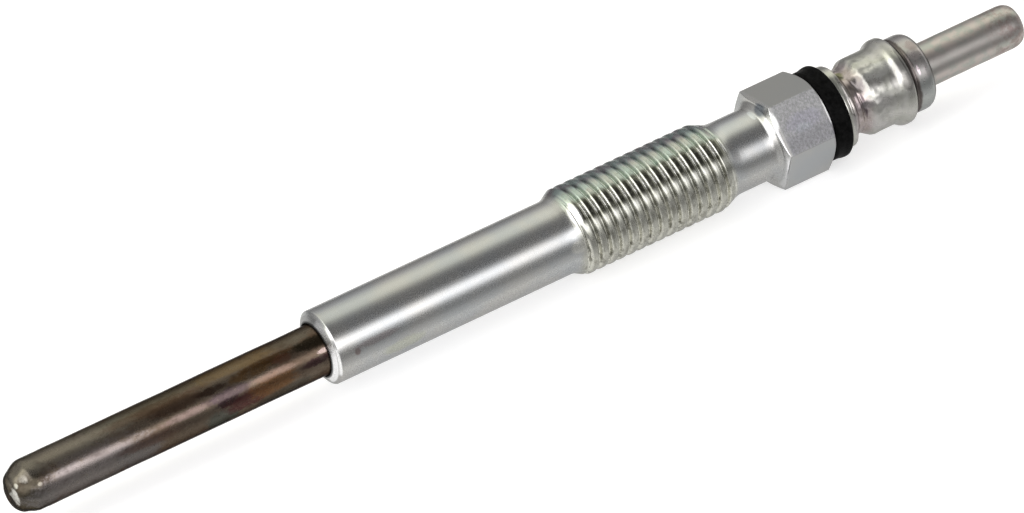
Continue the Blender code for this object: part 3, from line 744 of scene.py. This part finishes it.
def dress_heater():
    """Heat-oxidised sheath: brown, gold, purple and grey tints with specks, and painted highlights and
    some painted shade on the nose and along the near side.
    """
    g = Graph("oxidised_sheath", 0.9, 0.30, 0.25)
    cloud = g.noise(0.30, 5.0, 0.65, (0.5, 1.0, 1.0))
    blotch = g.noise(0.9, 5.0, 0.7, (0.7, 1.0, 1.0))
    fine = g.noise(3.2, 4.0, 0.75)
    wobble = g.wobble(4.2, 0.8, 6.0, 0.85, (0.6, 1.0, 1.0))
    g.colour = g.mix(g.step(cloud, 0.36, 0.64), (0.078, 0.052, 0.036), (0.106, 0.084, 0.063))
    # Lay the tints and the painted highlights and shade.
    for patch in HEAT_TINTS_AND_PAINTED_LIGHT:
        g.patch(*patch, wobble)
    g.lay(g.step(blotch, 0.52, 0.72), 0.5, (0.032, 0.020, 0.013))
    g.lay(g.step(blotch, 0.44, 0.30), 0.35, (0.12, 0.105, 0.085))
    g.lay(g.step(fine, 0.58, 0.72), 0.45, (0.14, 0.118, 0.090))
    g.lay(g.step(fine, 0.43, 0.30), 0.5, (0.020, 0.014, 0.010))
    return g.finish(g.spread(blotch, 0.20, 0.36), g.plus(blotch, g.times(fine, 0.5)), 0.014)


CONNECTOR_TINTS_AND_PAINTED_LIGHT = [
    # offset from the connector's face, side angle, half length, half angle, colour, strength
    # Painted shade beside the flange.
    (1.30, -50.0, 0.50, 12.0, (0.13, 0.13, 0.075), 0.9),
    (1.66, 10.0, 0.36, 20.0, (0.300, 0.255, 0.260), 0.7),
    # Painted shade: a crease's dark line and the waist's darker slope, in these four rows.
    (2.06, 20.0, 0.13, 26.0, (0.080, 0.062, 0.068), 0.9),
    (1.95, -21.0, 0.80, 12.0, (0.120, 0.100, 0.095), 0.8),
    (2.20, -18.0, 0.50, 15.0, (0.230, 0.210, 0.205), 0.85),
    (2.35, 19.0, 0.55, 8.0, (0.250, 0.230, 0.230), 0.7),
    # Painted shade over the barrel's and the ridge's highlights, in these three rows.
    (5.15, 4.0, 0.36, 14.0, (0.200, 0.195, 0.185), 0.7),
    (6.15, 11.0, 0.50, 12.0, (0.130, 0.125, 0.118), 0.85),
    (6.53, -14.0, 0.18, 28.0, (0.150, 0.146, 0.138), 0.85),
    # Painted light on the barrel's upper near side.
    (4.30, -22.0, 1.50, 12.0, (0.620, 0.620, 0.590), 0.8),
    (6.25, -52.0, 0.50, 16.0, (0.290, 0.285, 0.275), 0.8),
    # Painted light on the end part.
    (8.20, -20.0, 0.90, 9.0, (0.480, 0.440, 0.430), 0.7),
    (8.35, -36.0, 0.60, 10.0, (0.220, 0.175, 0.170), 0.6),
    # Painted highlight on the end part.
    (7.70, 3.0, 0.14, 8.0, (0.850, 0.740, 0.780), 0.9),
]


def dress_connector():
    """Duller, warmer nickel with a worn pin end, a pinkish waist, a dark band over the groove, and
    painted light and shade on the waist, barrel, ridge, end part and pin.
    """
    g = Graph("dull_nickel", 1.0, 0.32, 0.7)
    cloud = g.noise(0.45, 4.0, 0.6)
    blotch = g.noise(1.1, 4.0, 0.65)
    fine = g.noise(3.6, 4.0, 0.65)
    rings = g.noise(5.0, 3.0, 0.6, (1.0, 0.08, 0.08))
    wobble = g.wobble(1.8, 1.6, 4.0)
    g.colour = g.mix(g.step(cloud, 0.36, 0.64), (0.360, 0.360, 0.325), (0.410, 0.400, 0.385))
    offset = g.minus(g.along, FACE)
    flange = g.band(offset, -0.2, 0.62, 0.08)
    g.lay(flange, 0.6, (0.36, 0.36, 0.32))
    waist = g.band(offset, 0.9, 2.5, 0.35)
    pinkish = g.mix(g.step(blotch, 0.4, 0.6), (0.27, 0.22, 0.20), (0.37, 0.31, 0.31))
    g.lay(waist, 0.75, pinkish)
    end_part = g.band(offset, 7.4, 9.0, 0.2)
    g.lay(end_part, 0.75, (0.29, 0.28, 0.275))
    g.lay(g.times(end_part, g.step(blotch, 0.42, 0.62)), 0.5, (0.36, 0.315, 0.315))
    g.lay(end_part, g.band(g.side, 18.0, 90.0, 6.0), (0.31, 0.32, 0.31))
    # Lay the tints and the painted light and shade.
    for place, *patch in CONNECTOR_TINTS_AND_PAINTED_LIGHT:
        g.patch(FACE + place, *patch, wobble)
    groove = g.band(g.plus(offset, g.times(wobble, 0.12)), 6.76, 7.44, 0.12)
    g.lay(groove, 0.85, (0.055, 0.042, 0.040))
    scuffed = g.times(g.band(offset, 3.0, 5.4, 0.3), g.step(blotch, 0.50, 0.62))
    g.lay(scuffed, 0.4, (0.22, 0.215, 0.205))
    # Painted shade: a dark line at the end part's edge by the pin.
    painted_shade_end_edge = g.band(offset, 8.84, 9.30, 0.10)
    g.lay(painted_shade_end_edge, 0.8, (0.050, 0.045, 0.040))
    pin = g.step(g.along, FACE + 9.2, FACE + 9.4)
    stain = g.mix(g.step(blotch, 0.40, 0.58), (0.33, 0.34, 0.31), (0.43, 0.375, 0.350))
    g.lay(pin, 0.75, stain)
    # Painted shade: the pin's lower near side laid darker.
    g.lay(g.times(pin, g.band(g.side, -14.0, 36.0, 8.0)), 0.8, (0.265, 0.252, 0.238))
    worn = g.times(g.step(g.along, 96.5, 99.0), g.step(g.noise(1.5, 5.0, 0.75), 0.40, 0.62))
    g.lay(worn, 0.7, (0.22, 0.165, 0.155))
    specks = g.step(g.noise(2.6, 4.0, 0.7), 0.60, 0.74)
    g.lay(specks, 0.5, (0.16, 0.135, 0.115))
    roughness = g.plus(g.spread(fine, 0.22, 0.36), g.times(pin, 0.10), g.times(scuffed, 0.10))
    height = g.plus(g.times(fine, 0.35), g.times(rings, 0.4), g.times(blotch, 0.8))
    return g.finish(roughness, height, 0.008)


PLAIN = {
    # metallic, low colour, high colour, roughness, scale of the mottling, depth, specular level
    "insulating_washer": (0.0, (0.0015, 0.0015, 0.0015), (0.005, 0.005, 0.005), 0.48, 2.5, 0.020, 0.018),
    "shell_seal": (0.0, (0.014, 0.014, 0.014), (0.028, 0.028, 0.028), 0.70, 1.5, 0.020, 0.4),
    "tube_gasket": (0.0, (0.070, 0.070, 0.075), (0.11, 0.11, 0.12), 0.75, 1.5, 0.020, 0.4),
    "filler_powder": (0.0, (0.74, 0.73, 0.69), (0.85, 0.84, 0.80), 0.90, 2.0, 0.030, 0.4),
    "centre_rod": (1.0, (0.45, 0.44, 0.42), (0.54, 0.53, 0.51), 0.36, 0.8, 0.008, 0.4),
    "heater_coil": (1.0, (0.28, 0.26, 0.24), (0.38, 0.36, 0.33), 0.42, 1.6, 0.010, 0.4),
    "regulating_coil": (1.0, (0.40, 0.37, 0.33), (0.49, 0.46, 0.42), 0.38, 1.6, 0.010, 0.4),
}


def dress_plain(name, metallic, low, high, roughness, scale, depth, specular):
    """A mottled material between two colours for the plainer pieces."""
    g = Graph(name, metallic, roughness)
    mottle = g.noise(scale, 5.0, 0.65)
    fine = g.noise(scale * 6.0, 3.0, 0.6)
    g.shader.inputs["Specular IOR Level"].default_value = specular
    g.colour = g.mix(g.step(mottle, 0.34, 0.66), low, high)
    return g.finish(g.spread(fine, roughness - 0.08, roughness + 0.08), g.plus(mottle, fine), depth)


plain = {name: dress_plain(name + "_finish", *look) for name, look in PLAIN.items()}
washer_finish = plain.pop("insulating_washer")
for name, material in plain.items():
    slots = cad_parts[name].data.materials
    for index in range(len(slots)):
        slots[index] = material

for piece, node, slot, material in (
    (shell, "shell", "plated_shell", dress_shell()),
    (heater, "heater_tube", "heater_sheath", dress_heater()),
    (washer, "insulating_washer", "washer_plastic", washer_finish),
    (connector, "terminal_connector", "connector_metal", dress_connector()),
):
    piece.data.materials.append(material)
    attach(piece, "root")
    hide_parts(node)


# Studio

ROOM_RADIUS = 550.0
ROOM_FRONT = -550.0
ROOM_REAR = 1150.0
ROOM_OPENING = 20.0
ROOM_SIDES = (-154.0, 54.0)
ROOM_STEPS = 52
ROOM_TONES = [
    # side angle, radiance
    (-154.0, 0.34),
    (-138.0, 0.42),
    (-120.0, 0.64),
    (-102.0, 1.10),
    (-84.0, 1.42),
    (-66.0, 1.25),
    (-54.0, 0.55),
    (-42.0, 0.28),
    (-14.0, 0.24),
    (-4.0, 0.50),
    (26.0, 0.80),
    (34.0, 0.55),
    (54.0, 0.50),
]
WARM_LIGHT = (1.0, 1.0, 0.90)
PLAIN_LIGHT = (1.0, 0.99, 1.0)
WARM_SIDES = (-104.0, -52.0, 8.0)

# Lamps: radiance; from side angle, to side angle, softness; stations between which they change
SOFT_BOX, BOX_SIDES, BOX_END = 3.4, (1.0, 25.0, 7.0), (286.0, 328.0)
REAR_TOP, TOP_SIDES, TOP_START = 0.40, (-108.0, -54.0, 10.0), (262.0, 300.0)
WINDOW, WINDOW_SIDES, WINDOW_END = 2.4, (-78.0, 6.0, 12.0), (-250.0, -120.0)


def room_material():
    """Tones round the plug, a soft box that fades towards the pin, and a window by the tip."""
    g = Graph("room", 0.0, 1.0)
    tones = g.curve(g.side, ROOM_TONES)
    box = g.times(g.band(g.side, *BOX_SIDES), SOFT_BOX, g.minus(1.0, g.step(g.along, *BOX_END)))
    top = g.times(g.band(g.side, *TOP_SIDES), g.step(g.along, *TOP_START), REAR_TOP)
    window = g.times(g.band(g.side, *WINDOW_SIDES), WINDOW, g.minus(1.0, g.step(g.along, *WINDOW_END)))
    tint = g.mix(g.band(g.side, *WARM_SIDES), PLAIN_LIGHT, WARM_LIGHT)
    return g.glow(Color=tint, Strength=g.plus(tones, top, g.plus(box, window)))


def build_room():
    """A curved screen round the plug and its end by the tip.

    They give the bands that turned metal shows.
    """
    outline = [
        (ROOM_FRONT, ROOM_OPENING),
        (ROOM_FRONT, ROOM_RADIUS / 2),
        (ROOM_FRONT, ROOM_RADIUS),
        (ROOM_REAR, ROOM_RADIUS),
    ]
    vertices, faces = [], []
    for index in range(ROOM_STEPS + 1):
        side = ROOM_SIDES[0] + (ROOM_SIDES[1] - ROOM_SIDES[0]) * index / ROOM_STEPS
        angle = math.radians(NEAR_SIDE + side)
        for station, radius in outline:
            y, z = radius * MM * math.cos(angle), AXIS_HEIGHT + radius * MM * math.sin(angle)
            vertices.append((TIP_X + station * MM, y, z))
    for index in range(ROOM_STEPS):
        for place in range(len(outline) - 1):
            corner = index * len(outline) + place
            faces.append((corner, corner + 1, corner + 1 + len(outline), corner + len(outline)))
    room = meshed("room", vertices, faces)
    room.data.materials.append(room_material())
    room.visible_camera = False


FLAG_SPAN = (-60.0, 220.0)
FLAG_HEIGHT = 0.3
FLAG_TONES = [
    # distance in front of the axis, radiance
    (5.0, 1.00),
    (7.0, 0.80),
    (10.0, 0.50),
    (14.0, 0.36),
    (30.0, 0.42),
    (90.0, 0.55),
]


def build_flag():
    """A low dark flag in front of the plug, seen in reflections only: their lower dark band."""
    height = CAD_BOUNDS[0][2] + FLAG_HEIGHT * MM
    near, far = -FLAG_TONES[0][0] * MM, -FLAG_TONES[-1][0] * MM
    first, last = (TIP_X + station * MM for station in FLAG_SPAN)
    corners = [(first, near, height), (last, near, height), (last, far, height), (first, far, height)]
    flag = meshed("front_flag", corners, [(0, 1, 2, 3)])
    g = Graph("front_flag", 0.0, 1.0)
    distance = g.times(g.node("ShaderNodeSeparateXYZ", Vector=g.place).outputs["Y"], -1.0)
    flag.data.materials.append(g.glow(Strength=g.curve(distance, FLAG_TONES)))
    flag.visible_camera = False
    flag.visible_diffuse = False
    flag.visible_shadow = False


def path_mask(tree):
    """1 for camera, glossy and transmission rays."""
    path = tree.nodes.new("ShaderNodeLightPath").outputs
    seen = maths(tree, "MAXIMUM", path["Is Camera Ray"], path["Is Glossy Ray"])
    return maths(tree, "MAXIMUM", seen, path["Is Transmission Ray"])


FLOOR_HALF = 6.0
FLOOR_GAP = 0.05
FLOOR_TONE = 0.55
FLOOR_GLOW = 0.60
WORLD_SEEN = 1.0
WORLD_LIGHT = 0.60


def build_floor():
    """Pale floor that reads white and keeps the plug's soft shadow."""
    half, height = FLOOR_HALF, CAD_BOUNDS[0][2] - FLOOR_GAP * MM
    corners = [(-half, -half, height), (half, -half, height), (half, half, height), (-half, half, height)]
    floor = meshed("floor", corners, [(0, 1, 2, 3)])
    made = bpy.data.materials.new("pale_floor")
    made.use_nodes = True
    tree = made.node_tree
    shader = tree.nodes["Principled BSDF"]
    shader.inputs["Base Color"].default_value = (FLOOR_TONE, FLOOR_TONE, FLOOR_TONE, 1.0)
    shader.inputs["Roughness"].default_value = 1.0
    shader.inputs["Specular IOR Level"].default_value = 0.0
    shader.inputs["Emission Color"].default_value = (1.0, 1.0, 1.0, 1.0)
    glow = maths(tree, "MULTIPLY", path_mask(tree), FLOOR_GLOW)
    put(tree, shader.inputs["Emission Strength"], glow)
    floor.data.materials.append(made)


def build_world():
    """White to the eye and in reflections, and softer as a light."""
    world = bpy.data.worlds.new("studio")
    world.use_nodes = True
    bpy.context.scene.world = world
    tree = world.node_tree
    background = tree.nodes["Background"]
    background.inputs["Color"].default_value = (1.0, 1.0, 1.0, 1.0)
    strength = maths(tree, "MULTIPLY_ADD", path_mask(tree), WORLD_SEEN - WORLD_LIGHT, WORLD_LIGHT)
    put(tree, background.inputs["Strength"], strength)


VIEW_LEAN = math.radians(22.5)
VIEW_TURN = math.radians(25.10)
VIEW_DISTANCE = 0.860
PIXELS_PER_MM = 11.9
PICTURE_WIDTH = 1024
SENSOR_WIDTH = 36.0
CLIP_START = 0.01
AIM_STATION = 49.37
AIM_OFFSET = (0.35, 1.8)


def build_camera():
    """Camera at the photograph's angle: the pin leans away from it."""
    near = math.radians(NEAR_SIDE)
    toward = Vector(
        (-math.sin(VIEW_LEAN), math.cos(VIEW_LEAN) * math.cos(near), math.cos(VIEW_LEAN) * math.sin(near))
    )
    axis = Vector((1.0, 0.0, 0.0))
    along = (axis - toward * axis.dot(toward)).normalized()
    beside = toward.cross(along)
    right = along * math.cos(VIEW_TURN) - beside * math.sin(VIEW_TURN)
    up = along * math.sin(VIEW_TURN) + beside * math.cos(VIEW_TURN)
    aim = Vector((TIP_X + AIM_STATION * MM, 0.0, AXIS_HEIGHT))
    aim += (right * AIM_OFFSET[0] + up * AIM_OFFSET[1]) / PIXELS_PER_MM * MM
    data = bpy.data.cameras.new("camera")
    data.sensor_width = SENSOR_WIDTH
    data.lens = PIXELS_PER_MM / MM * VIEW_DISTANCE * SENSOR_WIDTH / PICTURE_WIDTH
    data.clip_start = CLIP_START
    camera = bpy.data.objects.new("camera", data)
    bpy.context.scene.collection.objects.link(camera)
    turn = Matrix((right, up, toward)).transposed().to_4x4()
    camera.matrix_world = Matrix.Translation(aim + toward * VIEW_DISTANCE) @ turn
    bpy.context.scene.camera = camera


build_room()
build_flag()
build_floor()
build_world()
build_camera()
bpy.context.scene.view_settings.view_transform = "Standard"
